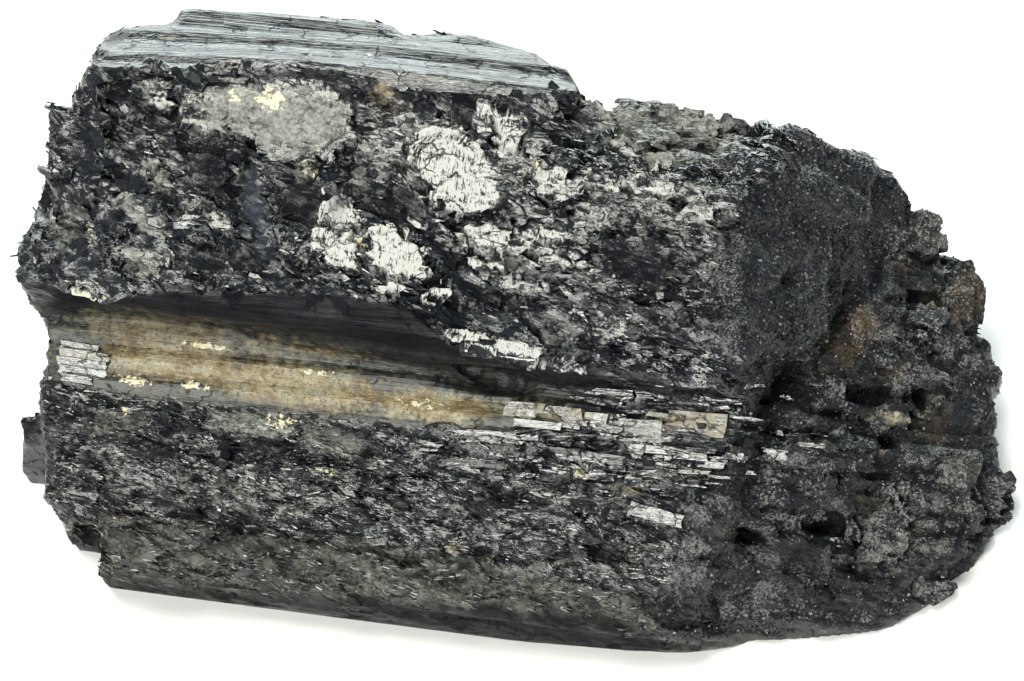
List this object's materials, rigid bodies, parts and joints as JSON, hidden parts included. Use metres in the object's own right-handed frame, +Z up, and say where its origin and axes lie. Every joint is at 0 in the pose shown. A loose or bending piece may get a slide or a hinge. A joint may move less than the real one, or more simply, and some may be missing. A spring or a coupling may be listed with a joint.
{
  "type": "tourmaline crystal",
  "caption": "Hand specimen of black tourmaline: long striated crystals grown side by side, broken rough along the front and at both ends, with a deep groove between the two main logs.",
  "frame": {"origin": "middle of the bounding box in plan, on the surface that the sole rests on", "axes": "+X along the crystals towards the low broken tip, +Z up from the sole, -Y towards the broken front"},
  "size_m": [0.1116, 0.0606, 0.0422],
  "materials": {
    "schorl": "glossy black with dull broken faces and rusty stain"
  },
  "bodies": {
    "root": {"tourmaline_crystal": "schorl"}
  },
  "joints": []
}
